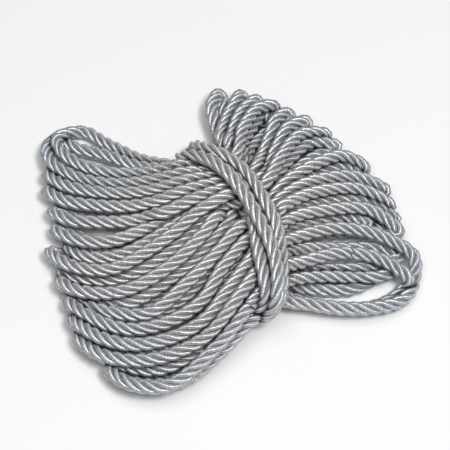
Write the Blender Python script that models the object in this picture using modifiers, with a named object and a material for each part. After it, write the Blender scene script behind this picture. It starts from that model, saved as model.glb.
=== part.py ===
"""A hank of twisted cord trim, lying flat: fanned loops on both sides of a waist bound with the same cord.

Metres, +Z up. The origin is on the surface, under the middle of the hank.
The tables give each loop's places in millimetres on a level sheet at SHEET_HEIGHT, as seen from the front and above,
with the height of the cord's middle beside them. The function place() slides each one down its line of sight.
"""

from collections import namedtuple

import bmesh
import bpy
import numpy as np
from mathutils import Vector

MM = 0.001

# Driving dimensions, in millimetres.
CORD_WIDTH = 5.0
STEP_ALONG_CORD = 2.0
SHEET_HEIGHT = 12.0
SIGHT_SLOPE = 0.625

# The middle of the hank's outline, which becomes the origin.
MIDDLE_X = -0.72
MIDDLE_Y = 3.09

# Heights of the cord's middle.
ON_SURFACE = 0.46 * CORD_WIDTH
TIE_ON_SURFACE = 0.5 * CORD_WIDTH + 0.1
WAIST_LOW = 8.3
WAIST_HIGH = 15.2
WAIST_STAGGER = 1.7
HEIGHT_AT_BEND = {"top": 8.0, "tucked": 5.5}
HEIGHT_AT_MIDDLE = {"top": 9.5, "tucked": 7.0}
HEIGHT_AT_NEAR = {"top": 12.5, "tucked": 10.5}

# A loop's lower leg lies this far to one side of the upper one, less and less towards the waist, and rises there.
LOOP_WIDTH = 4.6
LOW_LEG_ASIDE = (1.0, 0.7, 0.4)
LOW_LEG_RISE = (0.0, 1.0, 3.0)

# How the strands are fused into one solid.
FUSED_WIDTH = 5.2
VOXEL = 0.9
SMOOTHING_ROUNDS = 2
HANK_TRIANGLES = 7000
TIE_TRIANGLES = 1800
TIE_CLEARANCE = 0.7
BLOCK_SIDE = 200.0
BLOCK_DEPTH = 20.0

# The satin yarn.
HANK_COLOUR = (0.36, 0.37, 0.38)
TIE_COLOUR = (0.38, 0.38, 0.38)
SATIN_ROUGHNESS = 0.4

# The middle line of the waist, from its far end to its near end.
WAIST_LINE = [(-5, 33), (3, 26), (8, 17), (11.5, 8), (13.5, -3), (14.5, -14), (14.0, -24), (12.5, -31)]

# Each loop's upper leg: its tip, where it bends, its middle, where it nears the waist, and how it lies.
Loop = namedtuple("Loop", "tip bend middle near lies")
LEFT_LOOPS = [
    Loop((-61.5, 40.5), (-59.0, 34.0), (-50.0, 27.5), (-28.0, 24.5), "top"),
    Loop((-65.5, 37.0), (-63.5, 30.0), (-52.0, 22.8), (-28.0, 20.5), "top"),
    Loop((-64.7, 25.0), (-60.0, 21.0), (-48.0, 17.5), (-28.0, 16.3), "top"),
    Loop((-64.5, 18.0), (-59.5, 14.3), (-47.0, 11.7), (-28.0, 12.2), "top"),
    Loop((-62.0, 9.0), (-57.0, 6.0), (-45.0, 4.7), (-24.0, 9.3), "top"),
    Loop((-60.8, 1.5), (-56.0, -1.5), (-43.0, -3.3), (-22.0, 6.3), "top"),
    Loop((-56.0, -6.0), (-52.0, -8.8), (-40.0, -9.5), (-18.0, 3.5), "tucked"),
    Loop((-61.7, -7.5), (-57.0, -11.7), (-43.0, -14.8), (-18.0, -0.8), "top"),
    Loop((-58.0, -16.0), (-53.0, -17.7), (-40.0, -18.6), (-16.0, -3.6), "tucked"),
    Loop((-57.7, -19.5), (-53.0, -22.3), (-38.0, -23.5), (-14.0, -5.5), "top"),
    Loop((-56.0, -23.5), (-50.0, -26.0), (-36.0, -28.3), (-12.5, -8.5), "tucked"),
    Loop((-49.0, -29.5), (-38.0, -31.7), (-28.0, -32.6), (-10.0, -15.5), "tucked"),
    Loop((-54.5, -27.5), (-49.0, -31.7), (-33.0, -37.8), (-6.5, -21.5), "top"),
    Loop((-52.5, -34.0), (-47.0, -38.7), (-33.0, -43.3), (-4.5, -28.0), "top"),
    Loop((-51.0, -38.0), (-45.5, -42.5), (-31.0, -46.6), (-4.0, -31.0), "tucked"),
    Loop((-50.0, -41.0), (-45.0, -46.0), (-30.0, -49.5), (-3.0, -33.5), "top"),
    Loop((-43.0, -47.5), (-37.0, -51.5), (-24.0, -54.2), (-1.0, -36.5), "tucked"),
    Loop((-39.5, -53.0), (-35.0, -57.3), (-22.0, -59.5), (1.5, -38.5), "top"),
    Loop((-38.5, -55.5), (-33.0, -59.5), (-18.0, -60.0), (3.0, -40.5), "tucked"),
    Loop((-36.0, -57.0), (-30.0, -60.5), (-15.0, -59.5), (4.0, -41.5), "tucked"),
]
RIGHT_LOOPS = [
    Loop((-3.0, 60.5), (-5.9, 55.5), (-5.0, 48.5), (-3.2, 42.0), "top"),
    Loop((5.0, 60.3), (2.0, 55.0), (-0.5, 48.5), (-1.5, 42.0), "top"),
    Loop((11.0, 58.0), (6.5, 54.5), (2.5, 47.0), (0.8, 41.0), "top"),
    Loop((17.5, 54.5), (11.5, 54.3), (7.0, 48.5), (3.0, 41.0), "top"),
    Loop((14.5, 53.0), (11.5, 50.0), (8.0, 44.0), (5.0, 37.5), "tucked"),
    Loop((22.5, 52.0), (18.0, 49.5), (15.3, 41.0), (12.0, 29.5), "top"),
    Loop((29.0, 48.0), (22.5, 46.0), (17.5, 36.5), (13.5, 27.5), "top"),
    Loop((36.0, 42.0), (27.0, 42.5), (20.0, 34.5), (15.5, 26.0), "top"),
    Loop((38.0, 36.0), (30.0, 39.0), (23.0, 32.5), (17.0, 24.0), "tucked"),
    Loop((37.5, 32.0), (32.0, 34.5), (25.0, 30.0), (18.0, 22.5), "tucked"),
    Loop((49.0, 27.0), (42.0, 32.6), (30.0, 28.5), (20.5, 21.0), "top"),
    Loop((55.5, 17.0), (47.0, 23.5), (33.0, 22.8), (21.0, 17.3), "top"),
    Loop((56.5, 11.0), (48.0, 18.0), (33.0, 17.8), (22.0, 13.7), "top"),
    Loop((54.0, 9.0), (46.0, 14.2), (33.0, 13.5), (22.0, 10.0), "tucked"),
    Loop((59.5, 0.5), (51.0, 9.5), (36.0, 10.0), (22.0, 6.3), "top"),
    Loop((50.0, 3.0), (42.0, 6.8), (32.0, 5.3), (22.0, 2.0), "tucked"),
    Loop((64.3, -10.5), (55.0, -2.0), (38.0, 2.2), (22.0, -2.0), "top"),
    Loop((53.0, -6.0), (45.0, -3.0), (34.0, -4.0), (22.0, -6.5), "tucked"),
    Loop((62.5, -20.0), (54.0, -11.2), (40.0, -7.8), (23.0, -12.0), "top"),
    Loop((54.0, -16.5), (46.0, -14.2), (35.0, -14.3), (23.0, -16.0), "tucked"),
]

# Legs that lie on the surface where they show: seen places, from the tip towards the waist.
LEFT_LOWER_LEGS = {
    0: [(-54.0, 43.8), (-43.0, 37.8), (-30.0, 30.8), (-19.0, 28.0)],
    1: [(-62.0, 40.5), (-56.0, 36.0), (-46.0, 33.0), (-30.0, 26.5)],
}
RIGHT_LOWER_LEGS = {
    16: [(62.5, -20.0), (56.0, -28.5), (44.0, -30.0), (26.0, -27.5)],
    18: [(57.0, -26.5), (46.0, -28.0), (36.0, -26.0), (25.0, -24.5)],
    19: [(47.0, -18.8), (38.0, -18.0), (30.0, -17.8), (23.0, -18.0)],
}

# The tie's three passes over the waist, from the far side to the near side: seen places and heights.
TIE_PASSES = [
    [(-16.5, 33.0, 12.0), (-10.0, 32.3, 18.5), (-3.0, 27.0, 21.0), (3.5, 17.0, 21.5), (9.5, 5.5, 21.5),
     (14.0, -5.0, 21.5), (16.6, -15.0, 21.0), (16.0, -25.0, 19.0), (13.0, -31.5, 13.0), (9.5, -34.0, 7.0)],
    [(-11.5, 37.0, 12.0), (-5.0, 36.3, 18.5), (2.0, 32.0, 21.0), (8.5, 23.5, 21.0), (13.5, 13.0, 20.5),
     (16.8, 2.0, 19.5), (17.8, -8.0, 18.0), (17.8, -18.0, 16.5), (16.8, -26.0, 14.5), (14.0, -31.0, 9.0)],
    [(-14.0, 30.5, 10.0), (-7.5, 29.5, 15.0), (-1.0, 22.0, 17.0), (3.0, 12.0, 17.5), (6.8, 3.0, 19.0),
     (9.8, -8.0, 21.0), (11.5, -18.0, 20.5), (11.8, -26.0, 18.5), (9.0, -31.5, 13.0), (5.5, -33.5, 7.0)],
]

# Where each pass under the waist is fixed, as shares of the way from the near side to the far side.
SHARES_UNDER_WAIST = (0.1, 0.5, 0.9)


def place(x, y, height):
    """A point seen at x, y on the sheet, moved down its line of sight to its own height."""
    return Vector((x - MIDDLE_X, y - MIDDLE_Y - (height - SHEET_HEIGHT) * SIGHT_SLOPE, height))


def along(points, share):
    """The point at this share of a line's length."""
    points = [np.array(p, float) for p in points]
    lengths = [np.linalg.norm(b - a) for a, b in zip(points, points[1:])]
    left = share * sum(lengths)
    for a, b, length in zip(points, points[1:], lengths):
        if left <= length:
            return a + (b - a) * left / length
        left -= length
    return points[-1]


def smooth_curve(points, step):
    """Points a step apart on a smooth curve through these."""
    points = [np.array(p, float) for p in points]
    gaps = [np.linalg.norm(b - a) for a, b in zip(points, points[1:])]
    slopes = [(b - a) / gap for a, b, gap in zip(points, points[1:], gaps)]
    turns = [slopes[0]]
    for i in range(1, len(slopes)):
        turns.append((slopes[i - 1] * gaps[i] + slopes[i] * gaps[i - 1]) / (gaps[i] + gaps[i - 1]))
    turns.append(slopes[-1])
    out = []
    for i, gap in enumerate(gaps):
        for t in np.arange(0, 1, 0.25 * step / gap):
            out.append(
                (1 + 2 * t) * (1 - t) ** 2 * points[i]
                + t * (1 - t) ** 2 * gap * turns[i]
                + t * t * (3 - 2 * t) * points[i + 1]
                + t * t * (t - 1) * gap * turns[i + 1]
            )
    return even_steps(out + [points[-1]], step)


def even_steps(points, step):
    """The same line with its points a step apart."""
    points = np.array(points)
    reach = np.concatenate([[0], np.cumsum(np.linalg.norm(np.diff(points, axis=0), axis=1))])
    places = np.linspace(0, reach[-1], max(2, int(round(reach[-1] / step))) + 1)
    return np.stack([np.interp(places, reach, points[:, axis]) for axis in range(3)], axis=1)


def upper_leg(loop):
    """A loop's upper leg, from near the waist out to its tip."""
    return [
        place(*loop.near, HEIGHT_AT_NEAR[loop.lies]),
        place(*loop.middle, HEIGHT_AT_MIDDLE[loop.lies]),
        place(*loop.bend, HEIGHT_AT_BEND[loop.lies]),
        place(*loop.tip, 0.5 * (HEIGHT_AT_BEND[loop.lies] + ON_SURFACE)),
    ]


def lower_leg(loop, shown):
    """The leg that comes back from the tip under the others, a loop's width to one side of the upper one."""
    if shown:
        heights = np.linspace(ON_SURFACE, ON_SURFACE + LOW_LEG_RISE[-1], len(shown))
        return [place(*spot, height) for spot, height in zip(shown, heights)]
    near, middle, bend, _ = upper_leg(loop)
    out = []
    for spot, inner, outer, share, rise in zip(
        (bend, middle, near), (middle, near, near), (bend, middle, middle), LOW_LEG_ASIDE, LOW_LEG_RISE
    ):
        run = Vector((outer.x - inner.x, outer.y - inner.y, 0)).normalized()
        aside = Vector((run.y, -run.x, 0)) * LOOP_WIDTH * share
        out.append(Vector((spot.x + aside.x, spot.y + aside.y, ON_SURFACE + rise)))
    return out


def waist_place(turn, high):
    """Where a leg crosses the waist: the upper legs over the lower ones, each row of them staggered."""
    share = (turn + (0.5 if high else 0.0)) / len(LEFT_LOOPS)
    x, y = along(WAIST_LINE, min(1.0, max(0.0, share)))
    height = (WAIST_HIGH if high else WAIST_LOW) + WAIST_STAGGER * (1 if turn % 2 else -1)
    return place(x, y, max(height, WAIST_LOW))


def hank_route():
    """The whole cord of the hank: in from the far lower left leg, round every loop, out at the near lower right."""
    points = [waist_place(0, False)] + lower_leg(LEFT_LOOPS[0], LEFT_LOWER_LEGS.get(0))[::-1]
    for turn, (left, right) in enumerate(zip(LEFT_LOOPS, RIGHT_LOOPS)):
        points += upper_leg(left)[::-1]
        points.append(waist_place(turn, True))
        points += upper_leg(right)
        points += lower_leg(right, RIGHT_LOWER_LEGS.get(turn))
        points.append(waist_place(turn + 1, False))
        if turn + 1 < len(LEFT_LOOPS):
            points += lower_leg(LEFT_LOOPS[turn + 1], LEFT_LOWER_LEGS.get(turn + 1))[::-1]
    return smooth_curve(points, STEP_ALONG_CORD)


def tie_route():
    """The cord of the tie: three passes over the waist, each joined to the next by one under it."""
    points = []
    for turn, row in enumerate(TIE_PASSES):
        points += [place(*spot) for spot in row]
        following = TIE_PASSES[(turn + 1) % len(TIE_PASSES)]
        start, end = points[-1], place(*following[0])
        for share in SHARES_UNDER_WAIST:
            under = start.lerp(end, share)
            under.x += (turn - 1) * CORD_WIDTH
            under.z = TIE_ON_SURFACE
            points.append(under)
    points.append(place(*TIE_PASSES[0][0]))
    return smooth_curve(points, STEP_ALONG_CORD)


def tube(name, route, width):
    """A round cord of this width along a route, as a mesh in metres with its ends closed."""
    curve = bpy.data.curves.new(name, "CURVE")
    curve.dimensions = "3D"
    curve.bevel_depth = 0.5 * width * MM
    curve.bevel_resolution = 2
    curve.use_fill_caps = True
    spline = curve.splines.new("POLY")
    spline.points.add(len(route) - 1)
    for point, spot in zip(spline.points, route):
        point.co = (*(Vector(spot) * MM), 1.0)
    guide = bpy.data.objects.new(name, curve)
    bpy.context.scene.collection.objects.link(guide)
    graph = bpy.context.evaluated_depsgraph_get()
    mesh = bpy.data.meshes.new_from_object(guide.evaluated_get(graph))
    bpy.data.objects.remove(guide)
    bm = bmesh.new()
    bm.from_mesh(mesh)
    bmesh.ops.remove_doubles(bm, verts=bm.verts, dist=0.0001 * MM)
    bm.to_mesh(mesh)
    bm.free()
    mesh.materials.clear()
    made = bpy.data.objects.new(name, mesh)
    bpy.context.scene.collection.objects.link(made)
    return made


def set_mesh(made, mesh):
    """Gives the object this mesh and clears its modifiers."""
    made.modifiers.clear()
    made.data = mesh


def evaluated_mesh(made):
    """A new mesh of the object with its modifiers applied."""
    graph = bpy.context.evaluated_depsgraph_get()
    return bpy.data.meshes.new_from_object(made.evaluated_get(graph))


def keep_outer_skin(mesh):
    """Keeps the largest closed surface, so that no hollow is left sealed inside."""
    bm = bmesh.new()
    bm.from_mesh(mesh)
    bm.verts.ensure_lookup_table()
    seen = set()
    skins = []
    for start in bm.verts:
        if start.index in seen:
            continue
        seen.add(start.index)
        skin, waiting = [start], [start]
        while waiting:
            for edge in waiting.pop().link_edges:
                for other in edge.verts:
                    if other.index not in seen:
                        seen.add(other.index)
                        skin.append(other)
                        waiting.append(other)
        skins.append(skin)
    largest = max(skins, key=len)
    bmesh.ops.delete(bm, geom=[v for skin in skins if skin is not largest for v in skin], context="VERTS")
    bmesh.ops.triangulate(bm, faces=bm.faces)
    bm.to_mesh(mesh)
    bm.free()


def fuse(made, triangles):
    """Makes the crossing turns of a tube one closed skin of about this many triangles."""
    remesh = made.modifiers.new("Fuse the turns", "REMESH")
    remesh.mode = "VOXEL"
    remesh.voxel_size = VOXEL * MM
    smooth = made.modifiers.new("Ease the skin", "SMOOTH")
    smooth.factor = 0.5
    smooth.iterations = SMOOTHING_ROUNDS
    mesh = evaluated_mesh(made)
    keep_outer_skin(mesh)
    set_mesh(made, mesh)
    fewer = made.modifiers.new("Fewer faces", "DECIMATE")
    fewer.ratio = triangles / len(mesh.polygons)
    set_mesh(made, evaluated_mesh(made))


def cut(made, cutter, name):
    """Cuts one closed mesh out of another."""
    boolean = made.modifiers.new(name, "BOOLEAN")
    boolean.operation = "DIFFERENCE"
    boolean.object = cutter
    cutter.hide_render = True
    cutter.display_type = "WIRE"


def block_below_surface():
    """A block whose top is the surface that the hank lies on."""
    bpy.ops.mesh.primitive_cube_add(size=1, location=(0, 0, -0.5 * BLOCK_DEPTH * MM))
    block = bpy.context.object
    block.name = "block_below_surface"
    block.scale = (BLOCK_SIDE * MM, BLOCK_SIDE * MM, BLOCK_DEPTH * MM)
    return block


def satin_cord_material(name, colour, roughness):
    """The cord's plain satin yarn."""
    material = bpy.data.materials.new(name)
    material.use_nodes = True
    shader = material.node_tree.nodes["Principled BSDF"]
    shader.inputs["Base Color"].default_value = (*colour, 1.0)
    shader.inputs["Roughness"].default_value = roughness
    shader.inputs["Metallic"].default_value = 0.0
    return material


def put_in(made, collection):
    """Moves an object into this collection alone."""
    for other in list(made.users_collection):
        other.objects.unlink(made)
    collection.objects.link(made)


def main():
    for old in list(bpy.data.objects):
        bpy.data.objects.remove(old)
    parts = bpy.data.collections.new("twisted_cord_trim")
    cutters = bpy.data.collections.new("cutters")
    for collection in (parts, cutters):
        bpy.context.scene.collection.children.link(collection)

    hank = tube("hank", hank_route(), FUSED_WIDTH)
    fuse(hank, HANK_TRIANGLES)
    tie = tube("tie", tie_route(), FUSED_WIDTH)
    fuse(tie, TIE_TRIANGLES)
    clearance = tube("tie_clearance", tie_route(), FUSED_WIDTH + 2 * TIE_CLEARANCE)
    fuse(clearance, TIE_TRIANGLES)
    ground = block_below_surface()

    cut(hank, clearance, "Room for the tie")
    cut(hank, ground, "Flat on the surface")
    cut(tie, ground, "Flat on the surface")

    for made, colour in ((hank, HANK_COLOUR), (tie, TIE_COLOUR)):
        made.data.materials.clear()
        made.data.materials.append(satin_cord_material("satin_" + made.name, colour, SATIN_ROUGHNESS))
        made.data.shade_smooth()
        put_in(made, parts)
    for cutter in (clearance, ground):
        put_in(cutter, cutters)


if __name__ == "__main__":
    main()
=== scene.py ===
"""Looks of a hank of twisted cord trim: the satin four-ply cord, wound in two fanned lobes and tied round its waist."""

import functools
import math
from collections import namedtuple

import bpy
import numpy as np
from bpy.props import FloatProperty, FloatVectorProperty, IntProperty, PointerProperty
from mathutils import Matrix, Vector
from mathutils.kdtree import KDTree


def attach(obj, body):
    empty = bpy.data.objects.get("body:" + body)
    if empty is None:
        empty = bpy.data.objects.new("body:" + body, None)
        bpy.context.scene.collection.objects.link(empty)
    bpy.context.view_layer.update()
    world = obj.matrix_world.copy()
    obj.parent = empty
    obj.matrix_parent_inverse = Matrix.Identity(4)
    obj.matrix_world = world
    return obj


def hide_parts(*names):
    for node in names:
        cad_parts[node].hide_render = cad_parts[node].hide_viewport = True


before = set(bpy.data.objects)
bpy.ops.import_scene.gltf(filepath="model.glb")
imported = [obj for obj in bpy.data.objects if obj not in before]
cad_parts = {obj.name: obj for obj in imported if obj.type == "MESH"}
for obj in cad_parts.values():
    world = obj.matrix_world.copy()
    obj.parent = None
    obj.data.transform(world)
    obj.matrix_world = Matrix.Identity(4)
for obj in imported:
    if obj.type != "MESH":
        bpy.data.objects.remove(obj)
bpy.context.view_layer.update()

bl_info = {
    "name": "Twisted cord hank",
    "version": (1, 0, 0),
    "blender": (4, 5, 0),
    "location": "View3D > Sidebar > Trimmings",
    "description": "Builds a tied hank of satin twisted cord trim",
    "category": "Add Mesh",
}

MM = 0.001

# The cord, in millimetres. The tables below were laid out for this width.
CORD_WIDTH = 5.0
PLIES = 4

# The tables' level sheet, as seen from the front and above, and the slope of the line of sight.
SHEET_HEIGHT = 12.0
SIGHT_SLOPE = 0.625
MIDDLE_X = -0.72
MIDDLE_Y = 3.09

# Heights of the cord's middle, in millimetres.
ON_SURFACE = 0.5 * CORD_WIDTH
WAIST_LOW = 8.0
HEIGHTS = {
    "top": {"tip": 5.2, "bend": 8.0, "middle": 9.5, "near": 11.0, "neck": 12.5, "edge": 12.5},
    "tucked": {"tip": 4.0, "bend": 5.5, "middle": 7.0, "near": 9.0, "neck": 9.5, "edge": 9.0},
    "sinking": {"tip": 5.2, "bend": 8.0, "middle": 9.5, "near": 10.0, "neck": 8.5, "edge": 8.5},
    "deep": {"tip": 2.6, "bend": 3.0, "middle": 4.0, "near": 6.5, "neck": 8.0, "edge": 9.0},
    "diving": {"tip": 5.2, "bend": 8.0, "middle": 9.5, "near": 11.0, "neck": 13.0, "edge": 8.0},
}

# A loop's lower leg lies this far to one side of the upper one, less and less towards the waist, and rises there.
LOOP_WIDTH = 4.6
LOW_LEG_ASIDE = (1.0, 0.7, 0.4)
LOW_LEG_RISE = (0.0, 1.0, 3.0)

# Each loop's upper leg, as seen on the sheet, from its tip to the edge of the tie.
Loop = namedtuple("Loop", "tip bend middle near neck edge lies")
LEFT_LOOPS = [
    Loop((-62.2, 40.5), (-59.5, 34.0), (-50.0, 27.5), (-28.0, 25.5), (-16.0, 28.0), (-7.5, 28.2), "top"),
    Loop((-65.5, 37.0), (-63.5, 30.0), (-52.0, 22.8), (-28.0, 21.8), (-15.0, 25.6), (-5.5, 26.3), "top"),
    Loop((-64.7, 25.0), (-60.0, 21.0), (-48.0, 17.5), (-28.0, 17.8), (-14.0, 22.4), (-3.0, 24.3), "top"),
    Loop((-64.5, 18.0), (-59.5, 14.3), (-47.0, 11.7), (-28.0, 12.4), (-15.0, 18.0), (-1.5, 21.8), "top"),
    Loop((-62.0, 9.0), (-57.0, 6.0), (-45.0, 4.7), (-24.0, 7.4), (-12.0, 14.4), (0.5, 19.5), "top"),
    Loop((-60.8, 1.5), (-56.0, -1.5), (-43.0, -3.3), (-25.0, 4.1), (-15.0, 10.5), (1.0, 16.5), "sinking"),
    Loop((-56.0, -6.0), (-52.0, -8.8), (-40.0, -9.5), (-22.0, 0.8), (-11.0, 8.6), (1.5, 14.0), "tucked"),
    Loop((-61.7, -7.5), (-57.0, -11.7), (-43.0, -14.8), (-20.5, -1.2), (-7.3, 11.2), (2.8, 16.6), "top"),
    Loop((-58.0, -16.0), (-53.0, -17.7), (-40.0, -18.6), (-20.0, -7.3), (-11.0, 2.2), (0.0, 11.5), "tucked"),
    Loop((-57.7, -19.5), (-53.0, -22.3), (-38.0, -23.5), (-19.0, -12.2), (-8.0, 0.8), (-1.3, 11.2), "diving"),
    Loop((-56.0, -23.5), (-50.0, -26.0), (-36.0, -28.3), (-17.0, -15.6), (-3.5, -0.6), (4.3, 11.5), "tucked"),
    Loop((-49.0, -29.5), (-38.0, -31.7), (-28.0, -32.0), (-13.5, -19.2), (-3.0, -6.8), (6.0, 4.2), "top"),
    Loop((-54.5, -27.5), (-49.0, -31.7), (-33.0, -37.8), (-9.0, -27.0), (-1.0, -12.4), (8.0, -1.5), "top"),
    Loop((-52.5, -34.0), (-47.0, -38.7), (-33.0, -43.3), (-7.5, -33.5), (1.0, -20.8), (8.0, -10.5), "top"),
    Loop((-51.0, -38.0), (-45.5, -42.5), (-31.0, -46.6), (-6.5, -36.0), (2.0, -23.2), (8.4, -13.5), "tucked"),
    Loop((-50.0, -41.0), (-45.0, -46.0), (-30.0, -49.5), (-5.5, -38.5), (3.5, -25.0), (8.8, -17.0), "top"),
    Loop((-43.0, -47.5), (-37.0, -51.0), (-24.0, -53.2), (-4.5, -39.8), (4.6, -27.6), (9.3, -21.0), "tucked"),
    Loop((-39.5, -53.0), (-35.0, -57.0), (-22.0, -59.2), (-3.5, -43.5), (5.6, -30.3), (10.0, -25.0), "top"),
    Loop((-41.0, -44.0), (-35.0, -48.0), (-20.0, -49.0), (-5.0, -39.0), (5.0, -31.0), (10.3, -28.0), "deep"),
    Loop((-36.0, -56.5), (-30.0, -58.7), (-15.0, -57.2), (-1.5, -45.2), (6.6, -35.0), (10.0, -31.2), "tucked"),
]
RIGHT_LOOPS = [
    Loop((-3.0, 60.5), (-5.9, 55.5), (-5.0, 48.5), (-3.2, 42.0), (-3.0, 39.8), (-3.0, 37.5), "top"),
    Loop((5.0, 60.3), (2.0, 55.0), (-0.5, 48.5), (-1.5, 42.0), (-1.2, 39.0), (-1.0, 36.5), "top"),
    Loop((11.0, 58.0), (6.5, 54.5), (2.5, 47.0), (0.8, 41.0), (0.8, 38.0), (1.0, 35.5), "top"),
    Loop((17.5, 54.5), (11.5, 54.3), (7.0, 48.5), (3.5, 41.0), (3.0, 37.0), (3.0, 33.5), "top"),
    Loop((14.5, 53.0), (11.5, 50.0), (8.0, 44.0), (5.0, 37.5), (5.0, 34.0), (5.0, 30.5), "tucked"),
    Loop((22.5, 52.0), (18.0, 49.5), (15.3, 41.0), (12.0, 29.5), (10.5, 26.5), (8.5, 24.0), "top"),
    Loop((29.0, 48.0), (22.5, 46.0), (17.5, 36.5), (13.5, 27.5), (12.0, 24.0), (10.0, 21.5), "top"),
    Loop((36.0, 42.0), (27.0, 42.5), (20.0, 34.5), (15.5, 26.0), (13.5, 21.8), (11.5, 19.0), "top"),
    Loop((40.0, 36.8), (30.5, 39.2), (23.0, 32.5), (17.0, 24.0), (14.6, 19.8), (12.5, 17.0), "tucked"),
    Loop((48.5, 22.5), (42.0, 28.0), (31.0, 25.3), (19.5, 20.5), (16.2, 16.6), (14.0, 14.0), "tucked"),
    Loop((49.6, 27.2), (42.0, 32.6), (30.0, 28.5), (20.5, 21.0), (16.8, 15.8), (14.5, 12.8), "top"),
    Loop((56.3, 17.4), (47.0, 23.5), (33.0, 22.8), (21.0, 17.3), (17.5, 13.5), (15.5, 10.5), "top"),
    Loop((57.6, 11.2), (48.5, 18.0), (33.0, 17.8), (22.0, 13.7), (18.2, 11.0), (16.2, 8.5), "top"),
    Loop((59.4, 5.4), (50.0, 12.8), (34.0, 13.4), (22.0, 10.0), (19.0, 8.0), (16.8, 5.8), "tucked"),
    Loop((60.3, 0.2), (51.0, 9.5), (36.0, 10.0), (22.0, 6.3), (19.3, 4.8), (17.3, 2.8), "top"),
    Loop((50.0, 3.0), (42.0, 6.8), (32.0, 5.3), (22.0, 2.0), (19.6, 1.2), (17.7, -0.3), "tucked"),
    Loop((65.0, -10.5), (55.5, -2.0), (38.0, 2.2), (22.0, -2.0), (19.8, -2.8), (18.0, -4.3), "top"),
    Loop((59.8, -10.5), (52.0, -6.2), (42.0, -6.0), (22.0, -6.5), (19.9, -7.1), (18.1, -8.3), "deep"),
    Loop((62.5, -20.0), (54.0, -11.2), (40.0, -7.8), (23.0, -12.0), (20.0, -12.4), (18.2, -13.0), "top"),
    Loop((57.0, -15.3), (50.0, -13.8), (42.0, -14.4), (25.0, -15.0), (20.0, -15.5), (18.2, -16.5), "deep"),
]

# Lower legs that show: seen places and heights, from the tip to the edge of the tie.
LEFT_LOWER_LEGS = {
    0: [(-54.0, 43.8, 2.5), (-43.0, 37.8, 3.9), (-30.0, 30.8, 5.3), (-19.0, 28.8, 6.6), (-7.0, 28.0, 8.0)],
    1: [(-62.0, 40.5, 2.5), (-56.0, 36.7, 3.6), (-46.0, 34.0, 4.7), (-30.0, 28.0, 5.8), (-16.0, 27.5, 6.9),
        (-5.5, 26.0, 8.0)],
    10: [(-46.0, -28.0, 2.5), (-33.0, -29.5, 2.5), (-20.0, -21.5, 4.0), (-11.5, -12.5, 6.0)],
    11: [(-40.0, -34.5, 2.5), (-24.0, -32.0, 3.0), (-14.0, -24.5, 5.0), (-6.5, -15.0, 6.5)],
    17: [(-33.0, -54.5, 2.5), (-21.0, -55.8, 2.5), (-5.5, -43.5, 5.0)],
}
RIGHT_LOWER_LEGS = {
    16: [(64.5, -17.5, 3.5), (59.3, -26.8, 4.5), (50.0, -29.6, 6.5), (40.0, -29.9, 7.0), (28.0, -28.2, 7.0),
         (18.0, -26.0, 7.5)],
    17: [(55.5, -12.5, 2.5), (52.0, -17.6, 2.5), (48.0, -20.6, 2.5), (42.0, -23.0, 2.5), (34.0, -23.0, 3.0),
         (24.0, -21.8, 4.5), (18.3, -21.5, 7.0)],
    18: [(61.8, -22.2, 3.0), (57.5, -26.3, 2.5), (50.0, -29.7, 2.5), (40.0, -30.4, 2.5), (28.0, -28.5, 2.5),
         (17.8, -25.0, 4.5)],
    19: [(53.0, -17.3, 3.5), (45.0, -18.0, 4.0), (36.0, -17.4, 5.0), (28.0, -17.6, 6.0), (18.2, -19.0, 8.0)],
}

# The middle line of the waist, from its far end to its near end, where the lower legs cross under the tie.
WAIST_LINE = [(-5, 33), (3, 26), (8, 17), (11.5, 8), (13.5, -3), (14.5, -13), (13.5, -20), (12.0, -26)]

# The tie's three passes over the waist, from the far side to the near side: seen places and heights.
TIE_PASSES = [
    [(-17.0, 31.2, 7.5), (-13.5, 32.4, 12.5), (-7.2, 30.8, 18.0), (0.3, 24.4, 22.0), (6.3, 15.0, 22.0),
     (11.0, 5.0, 22.0), (14.9, -5.0, 22.0), (16.6, -15.0, 21.7), (16.4, -24.0, 19.5), (14.6, -29.6, 13.5),
     (12.3, -31.8, 10.5), (9.0, -32.4, 7.5)],
    [(-12.5, 36.0, 8.5), (-8.3, 35.4, 13.5), (0.0, 31.2, 17.0), (6.2, 25.3, 17.8), (12.0, 15.0, 17.8),
     (16.2, 5.0, 17.5), (18.0, -6.0, 17.3), (18.3, -16.0, 16.5), (17.6, -25.0, 14.0), (14.5, -29.5, 8.5)],
    [(-13.5, 32.0, 6.5), (-7.0, 31.0, 12.5), (2.0, 24.0, 16.5), (6.8, 15.0, 17.5), (9.0, 5.0, 17.8),
     (10.2, -5.0, 18.2), (11.8, -15.0, 18.3), (13.0, -25.0, 16.5), (11.0, -29.6, 11.5), (7.0, -31.0, 7.0)],
]
SHARES_UNDER_WAIST = (0.14, 0.5, 0.9)

# How the turns are eased apart where their guides run through each other.
EASE_STEP = 2.0
EASE_ROUNDS = 160
EASE_SEARCH_EVERY = 10
EASE_REACH = 1.5 * CORD_WIDTH
EASE_FREE_WIDTH = 0.94 * CORD_WIDTH
EASE_TIED_WIDTH = 0.78 * CORD_WIDTH
EASE_TIED_REACH = 18.0
EASE_TIE_GIVE = 0.25
EASE_SIDEWAYS = 0.5
EASE_SKIP_ALONG = 5
EASE_HOLD_HEIGHTS = (4.0, 8.0)
EASE_HOLD = (0.02, 0.12)
EASE_LOW_WIDTH = (0.5, 1.0)

# How far from the middle of the next turn the painted shade between turns starts and is darkest.
CREVICE_OPEN = 3.5
CREVICE_CLOSED = 2.35
CREVICE_SKIP_ALONG = 9.0

# The hank's cord is made in this many pieces, end to end.
HANK_PIECES = 4


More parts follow.
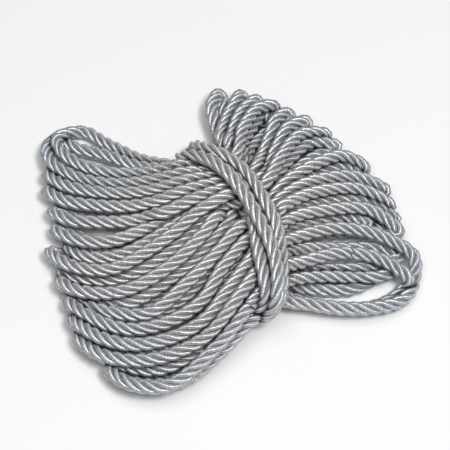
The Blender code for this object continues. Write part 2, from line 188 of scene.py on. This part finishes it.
class CordSettings(bpy.types.PropertyGroup):
    """The cord's make-up."""

    width: FloatProperty(
        name="Width", description="Cord width over its plies", default=CORD_WIDTH * MM, unit="LENGTH"
    )
    pitch: FloatProperty(
        name="Lay", description="Length of one full turn of a ply", default=16.0 * MM, unit="LENGTH"
    )
    tie_pitch: FloatProperty(
        name="Lay in the tie", description="The same where the cord is drawn tight", default=20.0 * MM, unit="LENGTH"
    )
    ring_gap: FloatProperty(
        name="Ring gap", description="Length of cord between mesh rings", default=0.8 * MM, unit="LENGTH"
    )
    points_per_ply: IntProperty(
        name="Points per ply", description="Mesh points across each ply", default=8, min=4
    )


class SatinSettings(bpy.types.PropertyGroup):
    """The satin yarn's colours."""

    body: FloatVectorProperty(
        name="Body", description="Colour of the yarn", subtype="COLOR", size=3, default=(0.60, 0.595, 0.585)
    )
    cool: FloatVectorProperty(
        name="Cool tint", description="Yarn that looks cooler", subtype="COLOR", size=3, default=(0.51, 0.535, 0.57)
    )
    # Painted shade: the colour the yarn is darkened to between the plies and beside other turns.
    groove: FloatVectorProperty(
        name="Groove", description="Yarn deep between the plies", subtype="COLOR", size=3, default=(0.03, 0.03, 0.032)
    )
    # Painted shade: how dark the yarn is painted where it lies close beside other turns.
    crevice_shade: FloatProperty(
        name="Crevices", description="How dark the yarn is between turns", default=1.0, min=0.0, max=1.0, subtype="FACTOR"
    )
    roughness: FloatProperty(
        name="Roughness", description="Satin finish", default=0.36, min=0.0, max=1.0, subtype="FACTOR"
    )
    sheen: FloatProperty(
        name="Sheen", description="How silvery the yarn shines", default=0.62, min=0.0, max=1.0, subtype="FACTOR"
    )
    relief: FloatProperty(
        name="Thread relief", description="How much the threads stand out", default=1.0, min=0.0, max=1.0, subtype="FACTOR"
    )


class StageSettings(bpy.types.PropertyGroup):
    """The floor, lights and camera."""

    floor: FloatVectorProperty(
        name="Floor", description="Colour of the pale floor", subtype="COLOR", size=3, default=(0.83, 0.83, 0.83)
    )
    ambient: FloatProperty(
        name="Ambient", description="Light from all round", default=0.20, min=0.0
    )
    power: FloatProperty(
        name="Studio light", description="Power of the lights above", default=10.2, min=0.0, unit="POWER"
    )
    elevation: FloatProperty(
        name="Elevation", description="How far the camera looks down", default=math.radians(58), subtype="ANGLE"
    )
    distance: FloatProperty(
        name="Distance", description="Camera distance", default=0.56, unit="LENGTH"
    )


def place(x, y, height):
    """A point seen at x, y on the sheet, moved down its line of sight to its own height."""
    return Vector((x - MIDDLE_X, y - MIDDLE_Y - (height - SHEET_HEIGHT) * SIGHT_SLOPE, height))


def along(points, share):
    """The point at this share of a line's length."""
    points = [np.array(p, float) for p in points]
    lengths = [np.linalg.norm(b - a) for a, b in zip(points, points[1:])]
    left = share * sum(lengths)
    for a, b, length in zip(points, points[1:], lengths):
        if left <= length:
            return a + (b - a) * left / length
        left -= length
    return points[-1]


def length_along(points):
    """The length of a line up to each of its points."""
    return np.concatenate([[0], np.cumsum(np.linalg.norm(np.diff(points, axis=0), axis=1))])


def even_steps(points, step):
    """The same line with its points a step apart."""
    points = np.array(points)
    reach = length_along(points)
    places = np.linspace(0, reach[-1], max(2, int(round(reach[-1] / step))) + 1)
    return np.stack([np.interp(places, reach, points[:, axis]) for axis in range(3)], axis=1)


def smooth_curve(points, step):
    """Points a step apart on a smooth curve through these."""
    points = [np.array(p, float) for p in points]
    gaps = [np.linalg.norm(b - a) for a, b in zip(points, points[1:])]
    slopes = [(b - a) / gap for a, b, gap in zip(points, points[1:], gaps)]
    turns = [slopes[0]]
    for i in range(1, len(slopes)):
        turns.append((slopes[i - 1] * gaps[i] + slopes[i] * gaps[i - 1]) / (gaps[i] + gaps[i - 1]))
    turns.append(slopes[-1])
    out = []
    for i, gap in enumerate(gaps):
        for t in np.arange(0, 1, 0.25 * step / gap):
            out.append(
                (1 + 2 * t) * (1 - t) ** 2 * points[i]
                + t * (1 - t) ** 2 * gap * turns[i]
                + t * t * (3 - 2 * t) * points[i + 1]
                + t * t * (t - 1) * gap * turns[i + 1]
            )
    return even_steps(out + [points[-1]], step)


def upper_leg(loop):
    """A loop's upper leg, from its tip to the edge of the tie."""
    heights = HEIGHTS[loop.lies]
    return [place(*getattr(loop, spot), heights[spot]) for spot in Loop._fields[:-1]]


def lower_leg(loop, shown):
    """The leg that comes back from the tip under the others, a loop's width to one side of the upper one."""
    if shown:
        return [place(*spot) for spot in shown]
    _, bend, middle, near, _, _ = upper_leg(loop)
    out = []
    for spot, inner, outer, share, rise in zip(
        (bend, middle, near), (middle, near, near), (bend, middle, middle), LOW_LEG_ASIDE, LOW_LEG_RISE
    ):
        run = Vector((outer.x - inner.x, outer.y - inner.y, 0)).normalized()
        aside = Vector((run.y, -run.x, 0)) * LOOP_WIDTH * share
        out.append(Vector((spot.x + aside.x, spot.y + aside.y, ON_SURFACE + rise)))
    return out


def crossings():
    """Which left leg runs into which right leg, and where the ones below cross the waist."""
    last = len(LEFT_LOOPS) - 1
    across = [(("left", 0, "lower"), ("right", 0, "upper")), (("left", 1, "lower"), ("right", 1, "upper"))]
    across += [(("left", k, "upper"), ("right", k + 2, "upper")) for k in range(last - 1)]
    across += [(("left", last - 1, "upper"), ("right", last, "lower"))]
    across += [(("left", last, "upper"), ("right", last - 1, "lower"))]
    below = [(("left", k + 2, "lower"), ("right", k, "lower")) for k in range(last - 1)]
    places = {pair: None for pair in across}
    for row, pair in enumerate(below):
        x, y = along(WAIST_LINE, (row + 0.5) / len(below))
        places[pair] = place(x, y, WAIST_LOW)
    return places


def leg_points(side, turn, leg):
    """The points of one leg from its tip to the waist."""
    loop = (LEFT_LOOPS if side == "left" else RIGHT_LOOPS)[turn]
    if leg == "upper":
        return upper_leg(loop)[1:]
    return lower_leg(loop, (LEFT_LOWER_LEGS if side == "left" else RIGHT_LOWER_LEGS).get(turn))


def hank_route():
    """The whole cord of the hank, from one hidden end to the other, through every loop once."""
    places = crossings()
    other_end = {}
    for pair in places:
        other_end[pair[0]] = (pair[1], places[pair])
        other_end[pair[1]] = (pair[0], places[pair])
    start = ("left", 2, "lower")
    points = []
    leg = start
    while True:
        side, turn, name = leg
        loop = (LEFT_LOOPS if side == "left" else RIGHT_LOOPS)[turn]
        back = (side, turn, "upper" if name == "lower" else "lower")
        points += leg_points(*leg)[::-1] + [upper_leg(loop)[0]] + leg_points(*back)
        leg, middle = other_end[back]
        if leg == start:
            return smooth_curve(points, EASE_STEP)
        if middle is not None:
            points.append(middle)


def tie_route():
    """The cord of the tie: three passes over the waist, each joined to the next by one under it."""
    points = []
    for turn, row in enumerate(TIE_PASSES):
        points += [place(*spot) for spot in row]
        following = TIE_PASSES[(turn + 1) % len(TIE_PASSES)]
        start, end = points[-1], place(*following[0])
        for share in SHARES_UNDER_WAIST:
            under = start.lerp(end, share)
            under.x += (turn - 1) * CORD_WIDTH
            under.z = ON_SURFACE
            points.append(under)
    points.append(place(*TIE_PASSES[0][0]))
    return smooth_curve(points, EASE_STEP)


def near_pairs(spots, cord, number):
    """Index pairs of points within reach of each other that aren't neighbours along one cord."""
    flat = spots.astype(np.float32)
    squares = (flat * flat).sum(axis=1)
    apart = squares[:, None] + squares[None, :] - 2 * flat @ flat.T
    first, second = np.nonzero(np.triu(apart < EASE_REACH**2, 1))
    beside = (cord[first] == cord[second]) & (np.abs(number[first] - number[second]) < EASE_SKIP_ALONG)
    return first[~beside], second[~beside]


def pressed_widths(spots):
    """How close the cords' middles come at each point: closer near the waist, where the tie squeezes them."""
    waist = even_steps([place(*spot, SHEET_HEIGHT) for spot in WAIST_LINE], 4.0)[:, :2]
    off = np.sqrt(((spots[:, None, :2] - waist[None]) ** 2).sum(axis=2)).min(axis=1)
    share = np.clip((off - 4.0) / EASE_TIED_REACH, 0, 1)
    return EASE_TIED_WIDTH + (EASE_FREE_WIDTH - EASE_TIED_WIDTH) * share * share * (3 - 2 * share)


def eased(routes):
    """The routes with their turns pressed apart where they meet, kept near their guides and on the surface."""
    home = np.concatenate(routes)
    cord = np.concatenate([np.full(len(route), i) for i, route in enumerate(routes)])
    number = np.concatenate([np.arange(len(route)) for route in routes])
    joined = cord[1:] == cord[:-1]
    inner = np.nonzero(joined[1:] & joined[:-1])[0] + 1
    sight = np.array([0, -SIGHT_SLOPE, 1.0])
    sight /= np.linalg.norm(sight)
    spots = home.copy()
    bow = 0.5 * (home[inner - 1] + home[inner + 1]) - home[inner]
    lengths = np.linalg.norm(home[1:] - home[:-1], axis=1)[:, None]
    widths = pressed_widths(home) * np.interp(home[:, 2], EASE_HOLD_HEIGHTS, EASE_LOW_WIDTH)
    give = np.where(cord == len(routes) - 1, EASE_TIE_GIVE, 1.0)
    order = home @ sight
    hold = np.interp(home[:, 2], EASE_HOLD_HEIGHTS, EASE_HOLD)[:, None]
    for turn in range(EASE_ROUNDS):
        if turn % EASE_SEARCH_EVERY == 0:
            first, second = near_pairs(spots, cord, number)
        gap = spots[first] - spots[second]
        distance = np.linalg.norm(gap, axis=1) + 1e-9
        push = np.clip(0.5 * (widths[first] + widths[second]) - distance, 0, None) / (give[first] + give[second])
        shift = gap * (push / distance)[:, None]
        deep = (shift @ sight)[:, None] * sight
        deep += (push * np.where(order[first] > order[second], 0.5, -0.5))[:, None] * sight
        shift = EASE_SIDEWAYS * shift + deep
        touching = push > 0
        count = np.bincount(first, touching, len(spots)) + np.bincount(second, touching, len(spots))
        for axis in range(3):
            moved = np.bincount(first, shift[:, axis], len(spots)) - np.bincount(second, shift[:, axis], len(spots))
            spots[:, axis] += 1.3 * give * moved / np.maximum(count, 1) ** 0.5
        back = home - spots
        depth = (back @ sight)[:, None] * sight
        spots += hold * (back - depth) + 0.01 * depth
        spots[:, 2] -= 0.01
        spots[inner] += 0.35 * (0.5 * (spots[inner - 1] + spots[inner + 1]) - spots[inner] - bow)
        run = spots[1:] - spots[:-1]
        length = np.linalg.norm(run, axis=1)[:, None]
        pull = np.where(joined[:, None], 0.25 * (length - lengths) * run / length, 0)
        spots[:-1] += pull
        spots[1:] -= pull
        spots[:, 2] = np.maximum(spots[:, 2], ON_SURFACE)
    return [spots[cord == i] for i in range(len(routes))]


@functools.lru_cache(maxsize=1)
def settled_routes():
    """The hank's and the tie's routes after easing, in millimetres."""
    return eased([hank_route(), tie_route()])


@functools.lru_cache(maxsize=1)
def all_turns():
    """Points along both cords with their cord's number and place along it, and a tree to look them up."""
    spots, marks = [], []
    for cord, route in enumerate(settled_routes()):
        fine = even_steps(route, 1.0)
        spots.append(fine)
        marks += [(cord, place_along) for place_along in range(len(fine))]
    spots = np.concatenate(spots)
    tree = KDTree(len(spots))
    for i, spot in enumerate(spots):
        tree.insert(spot, i)
    tree.balance()
    return spots, np.array(marks), tree


def crevice_shading(rings, middles, cord, places):
    """How much painted shade each point of a cord's rings gets, from 0 to 1, where it lies close beside another turn.
    """
    spots, marks, tree = all_turns()
    shares = np.zeros(rings.shape[:2])
    reach = CREVICE_OPEN + 0.6 * CORD_WIDTH
    for i, (ring, middle, place_along) in enumerate(zip(rings, middles, places)):
        near = [found[1] for found in tree.find_range(middle, reach)]
        near = [k for k in near if marks[k, 0] != cord or abs(marks[k, 1] - place_along) > CREVICE_SKIP_ALONG]
        if near:
            off = np.sqrt(((ring[:, None] - spots[near][None]) ** 2).sum(axis=2)).min(axis=1)
            shares[i] = np.clip((CREVICE_OPEN - off) / (CREVICE_OPEN - CREVICE_CLOSED), 0, 1)
    return shares


def carried_frames(route):
    """Directions along and across a route, the cross ones carried along without turning."""
    run = np.gradient(route, axis=0)
    run /= np.linalg.norm(run, axis=1)[:, None]
    across = np.empty_like(run)
    start = np.cross(run[0], (0, 0, 1.0))
    across[0] = start / np.linalg.norm(start)
    for i in range(1, len(run)):
        side = across[i - 1] - run[i] * (across[i - 1] @ run[i])
        across[i] = side / np.linalg.norm(side)
    return run, across, np.cross(run, across)


def ply_outline(width, points_per_ply):
    """Radius and angle of each point round a cord of four pressed plies."""
    centre, radius = 0.285 * width, 0.22 * width
    widest = math.acos((0.5 * (centre - math.sqrt(2 * radius**2 - centre**2)) - centre) / radius)
    spots = []
    for ply in range(PLIES):
        for k in range(points_per_ply):
            swing = widest * (2 * k / points_per_ply - 1)
            x, y = centre + radius * math.cos(swing), radius * math.sin(swing)
            spots.append((math.hypot(x, y), math.atan2(y, x) + 2 * math.pi * ply / PLIES))
    return np.array(spots)


def cord_mesh(name, number, route, ends, pitch, cord):
    """A closed mesh of the twisted cord along a route in millimetres. UV: millimetres along, plies across."""
    fine = smooth_curve(route, cord.ring_gap / MM)
    run, across, up = carried_frames(fine)
    outline = ply_outline(cord.width / MM, cord.points_per_ply)
    reach = length_along(fine)
    turn = 2 * math.pi * (reach + 0.6 * np.sin(reach / 37.0)) / (pitch / MM)
    angle = outline[None, :, 1] + turn[:, None]
    spread = np.cos(angle)[..., None] * across[:, None] + np.sin(angle)[..., None] * up[:, None]
    spots = fine[:, None] + outline[None, :, 0, None] * spread
    rings, points = angle.shape
    mesh = bpy.data.meshes.new(name)
    verts = np.concatenate([spots.reshape(-1, 3), fine[:1], fine[-1:]]) * MM
    mesh.vertices.add(len(verts))
    mesh.vertices.foreach_set("co", verts.astype(np.float32).ravel())
    ring, point = np.meshgrid(np.arange(rings - 1), np.arange(points), indexing="ij")
    after = (point + 1) % points
    quads = np.stack(
        [ring * points + point, ring * points + after, (ring + 1) * points + after, (ring + 1) * points + point], -1
    ).reshape(-1, 4)
    column = np.arange(points)
    first_cap = np.stack([np.full(points, rings * points), (column + 1) % points, column], -1)
    base = (rings - 1) * points
    last_cap = np.stack([np.full(points, rings * points + 1), base + column, base + (column + 1) % points], -1)
    loops = np.concatenate([quads.ravel(), first_cap.ravel(), last_cap.ravel()])
    sizes = np.concatenate([np.full(len(quads), 4), np.full(2 * points, 3)])
    mesh.loops.add(len(loops))
    mesh.loops.foreach_set("vertex_index", loops.astype(np.int32))
    mesh.polygons.add(len(sizes))
    mesh.polygons.foreach_set("loop_start", np.concatenate([[0], np.cumsum(sizes)[:-1]]).astype(np.int32))
    mesh.update(calc_edges=True)
    # U is the length along and V counts plies. The last face of a ring runs on to the next whole ply.
    length_at = ends[0] + (ends[1] - ends[0]) * reach / reach[-1]
    ply_at = np.arange(points + 1) / cord.points_per_ply
    corner_u = length_at[np.stack([ring, ring, ring + 1, ring + 1], -1).reshape(-1)]
    corner_v = ply_at[np.stack([point, point + 1, point + 1, point], -1).reshape(-1)]
    caps = np.zeros(6 * points)
    uv = np.stack([np.concatenate([corner_u, caps]), np.concatenate([corner_v, caps])], -1)
    layer = mesh.uv_layers.new(name="cord")
    layer.data.foreach_set("uv", uv.astype(np.float32).ravel())
    # Painted shade beside other turns, kept on each point for the material.
    shares = crevice_shading(spots, fine, number, length_at)
    dark = mesh.attributes.new("crevice_shade", "FLOAT", "POINT")
    dark.data.foreach_set("value", np.concatenate([shares.ravel(), (1.0, 1.0)]).astype(np.float32))
    mesh.validate()
    mesh.shade_smooth()
    return mesh


def joined(tree, kind, **values):
    """A new node whose inputs are set from these values or linked from these sockets. Names use _ for a space."""
    node = tree.nodes.new(kind)
    for name, value in values.items():
        spot = node.inputs[int(name[1:])] if name[1:].isdigit() else node.inputs[name.replace("_", " ")]
        if isinstance(value, bpy.types.NodeSocket):
            tree.links.new(value, spot)
        else:
            spot.default_value = value
    return node


def maths(tree, operation, first, second=0.0):
    """The outcome of one sum."""
    node = joined(tree, "ShaderNodeMath", _0=first, _1=second)
    node.operation = operation
    return node.outputs[0]


def ramp(tree, value, *stops):
    """Grey levels by value, from stops of position and level."""
    node = joined(tree, "ShaderNodeValToRGB", Fac=value)
    for element, (position, level) in zip(node.color_ramp.elements, stops):
        element.position = position
        element.color = (level, level, level, 1)
    return node.outputs["Color"]


def mixed(tree, share, first, second, blend="MIX"):
    """Two colours mixed by a share."""
    node = tree.nodes.new("ShaderNodeMix")
    node.data_type = "RGBA"
    node.blend_type = blend
    for spot, value in zip((node.inputs["Factor"], node.inputs[6], node.inputs[7]), (share, first, second)):
        if isinstance(value, bpy.types.NodeSocket):
            tree.links.new(value, spot)
        else:
            spot.default_value = value
    return node.outputs[2]


def satin_yarn(name, satin):
    """Satin yarn wound round each ply, so its shine runs along the ply, with painted shade in the grooves and beside
    other turns.
    """
    material = bpy.data.materials.new(name)
    material.use_nodes = True
    tree = material.node_tree
    shader = tree.nodes["Principled BSDF"]
    shader.inputs["Roughness"].default_value = satin.roughness
    shader.inputs["Metallic"].default_value = satin.sheen
    shader.inputs["Anisotropic"].default_value = 1.0
    uv = tree.nodes.new("ShaderNodeUVMap")
    uv.uv_map = "cord"
    spots = joined(tree, "ShaderNodeSeparateXYZ", Vector=uv.outputs["UV"])
    run, plies = spots.outputs["X"], spots.outputs["Y"]

    # How far from a ply's ridge: 0 on the ridge and 1 where two plies meet.
    away = maths(tree, "ABSOLUTE", maths(tree, "SUBTRACT", maths(tree, "MULTIPLY", maths(tree, "FRACT", plies), 2.0), 1.0))

    # Threads lie nearly across the ply, so the noise is long that way and short along the run.
    lean = maths(tree, "ADD", maths(tree, "MULTIPLY", run, 2.6), maths(tree, "MULTIPLY", plies, 2.2))
    thread_spot = joined(tree, "ShaderNodeCombineXYZ", X=lean, Y=maths(tree, "MULTIPLY", plies, 1.5))
    threads = joined(
        tree, "ShaderNodeTexNoise", Vector=thread_spot.outputs["Vector"], Scale=1.0, Detail=3.0, Roughness=0.7
    ).outputs["Fac"]

    # The yarn looks cooler towards the ends of the lobes.
    place_of = tree.nodes.new("ShaderNodeTexCoord").outputs["Object"]
    drift = joined(tree, "ShaderNodeTexNoise", Vector=place_of, Scale=22.0, Detail=1.0).outputs["Fac"]
    out = joined(tree, "ShaderNodeVectorMath", Vector=place_of)
    out.operation = "LENGTH"
    share = maths(tree, "ADD", maths(tree, "MULTIPLY", out.outputs["Value"], 14.0), maths(tree, "SUBTRACT", drift, 0.6))
    share = joined(tree, "ShaderNodeClamp", Value=share).outputs["Result"]
    tint = mixed(tree, share, (*satin.body, 1), (*satin.cool, 1))
    threaded = mixed(tree, 1.0, tint, ramp(tree, threads, (0.3, 0.62), (0.7, 1.38)), "MULTIPLY")
    # Painted shade: darker towards the grooves between the plies.
    shade = ramp(tree, away, (0.55, 0.0), (0.98, 1.0))
    # Painted shade beside other turns, read from the point attribute; the darker of this and the shade between plies is
    # used.
    crevice_shade = tree.nodes.new("ShaderNodeAttribute")
    crevice_shade.attribute_name = "crevice_shade"
    shade = joined(tree, "ShaderNodeMath", _0=maths(tree, "MULTIPLY", crevice_shade.outputs["Fac"], satin.crevice_shade), _1=shade)
    shade.operation = "MAXIMUM"
    tree.links.new(mixed(tree, shade.outputs[0], threaded, (*satin.groove, 1)), shader.inputs["Base Color"])

    bump = joined(tree, "ShaderNodeBump", Strength=satin.relief, Distance=0.1 * MM, Height=threads)
    tree.links.new(bump.outputs["Normal"], shader.inputs["Normal"])
    tangent = tree.nodes.new("ShaderNodeTangent")
    tangent.direction_type = "UV_MAP"
    tangent.uv_map = "cord"
    tree.links.new(tangent.outputs["Tangent"], shader.inputs["Tangent"])
    return material


def add_cord_piece(name, mesh, material, node):
    """Links a finished length of cord, gives it its body and hides the solid it stands for."""
    mesh.materials.append(material)
    piece = bpy.data.objects.new(name, mesh)
    bpy.context.scene.collection.objects.link(piece)
    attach(piece, "root")
    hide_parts(node)
    return piece


class TRIM_OT_hank(bpy.types.Operator):
    """Makes the wound cord of the hank"""

    bl_idname = "trim.hank"
    bl_label = "Hank"

    def execute(self, context):
        cord = context.scene.trim_cord
        route = settled_routes()[0]
        material = satin_yarn("satin yarn", context.scene.trim_satin)
        reach = length_along(route)
        cuts = np.linspace(0, len(route) - 1, HANK_PIECES + 1).astype(int)
        for i, (start, end) in enumerate(zip(cuts, cuts[1:])):
            ends = (reach[start], reach[end])
            mesh = cord_mesh(f"hank_cord_{i + 1}", 0, route[start:end + 1], ends, cord.pitch, cord)
            add_cord_piece(f"hank_cord_{i + 1}", mesh, material, "hank")
        return {"FINISHED"}


class TRIM_OT_tie(bpy.types.Operator):
    """Makes the cord wound round the waist"""

    bl_idname = "trim.tie"
    bl_label = "Tie"

    def execute(self, context):
        cord = context.scene.trim_cord
        material = satin_yarn("satin yarn drawn tight", context.scene.trim_satin)
        route = settled_routes()[1]
        mesh = cord_mesh("tie_cord", 1, route, (0.0, length_along(route)[-1]), cord.tie_pitch, cord)
        add_cord_piece("tie_cord", mesh, material, "tie")
        return {"FINISHED"}


class TRIM_OT_stage(bpy.types.Operator):
    """Makes the pale floor, the studio lights and the camera"""

    bl_idname = "trim.stage"
    bl_label = "Stage"

    def execute(self, context):
        stage = context.scene.trim_stage
        bpy.ops.mesh.primitive_plane_add(size=4.0, location=(0, 0, -0.0002))
        floor = context.object
        floor.name = "floor"
        paint = bpy.data.materials.new("pale floor")
        paint.use_nodes = True
        paint.node_tree.nodes["Principled BSDF"].inputs["Base Color"].default_value = (*stage.floor, 1)
        paint.node_tree.nodes["Principled BSDF"].inputs["Roughness"].default_value = 0.6
        floor.data.materials.append(paint)

        world = bpy.data.worlds.new("studio")
        world.use_nodes = True
        world.node_tree.nodes["Background"].inputs["Color"].default_value = (0.98, 0.99, 1.0, 1)
        world.node_tree.nodes["Background"].inputs["Strength"].default_value = stage.ambient
        context.scene.world = world
        context.scene.view_settings.view_transform = "Standard"
        self.area_light("key", (0.48, -0.45, 1.40), 0.40, 1.35 * stage.power)
        self.area_light("overhead", (-0.05, -0.30, 1.60), 1.50, 1.45 * stage.power)

        aim = place(-1.0, 6.0, 8.0) * MM
        aim.y += (8.0 - SHEET_HEIGHT) * SIGHT_SLOPE * MM
        camera = bpy.data.objects.new("camera", bpy.data.cameras.new("camera"))
        back = Vector((0, -math.cos(stage.elevation), math.sin(stage.elevation)))
        camera.location = aim + back * stage.distance
        camera.rotation_euler = back.to_track_quat("Z", "Y").to_euler()
        camera.data.lens = 128.0
        camera.data.sensor_width = 36.0
        context.scene.collection.objects.link(camera)
        context.scene.camera = camera
        return {"FINISHED"}

    def area_light(self, name, spot, size, power):
        """A soft square light that faces the hank."""
        light = bpy.data.lights.new(name, "AREA")
        light.size = size
        light.energy = power
        lamp = bpy.data.objects.new(name, light)
        lamp.location = spot
        lamp.rotation_euler = Vector(spot).to_track_quat("Z", "Y").to_euler()
        bpy.context.scene.collection.objects.link(lamp)


class TRIM_PT_panel(bpy.types.Panel):
    """Steps that make the hank"""

    bl_label = "Twisted cord hank"
    bl_idname = "TRIM_PT_panel"
    bl_space_type = "VIEW_3D"
    bl_region_type = "UI"
    bl_category = "Trimmings"

    def draw(self, context):
        for name in ("trim.hank", "trim.tie", "trim.stage"):
            self.layout.operator(name)
        for group in (context.scene.trim_cord, context.scene.trim_satin, context.scene.trim_stage):
            box = self.layout.box()
            for key in group.__annotations__:
                box.prop(group, key)


CLASSES = (
    CordSettings,
    SatinSettings,
    StageSettings,
    TRIM_OT_hank,
    TRIM_OT_tie,
    TRIM_OT_stage,
    TRIM_PT_panel,
)


def register():
    for made in CLASSES:
        bpy.utils.register_class(made)
    bpy.types.Scene.trim_cord = PointerProperty(type=CordSettings)
    bpy.types.Scene.trim_satin = PointerProperty(type=SatinSettings)
    bpy.types.Scene.trim_stage = PointerProperty(type=StageSettings)


def unregister():
    for name in ("trim_cord", "trim_satin", "trim_stage"):
        delattr(bpy.types.Scene, name)
    for made in reversed(CLASSES):
        bpy.utils.unregister_class(made)


def main():
    bpy.ops.object.select_all(action="DESELECT")
    register()
    bpy.ops.trim.stage()
    bpy.ops.trim.hank()
    bpy.ops.trim.tie()


if __name__ == "__main__":
    main()
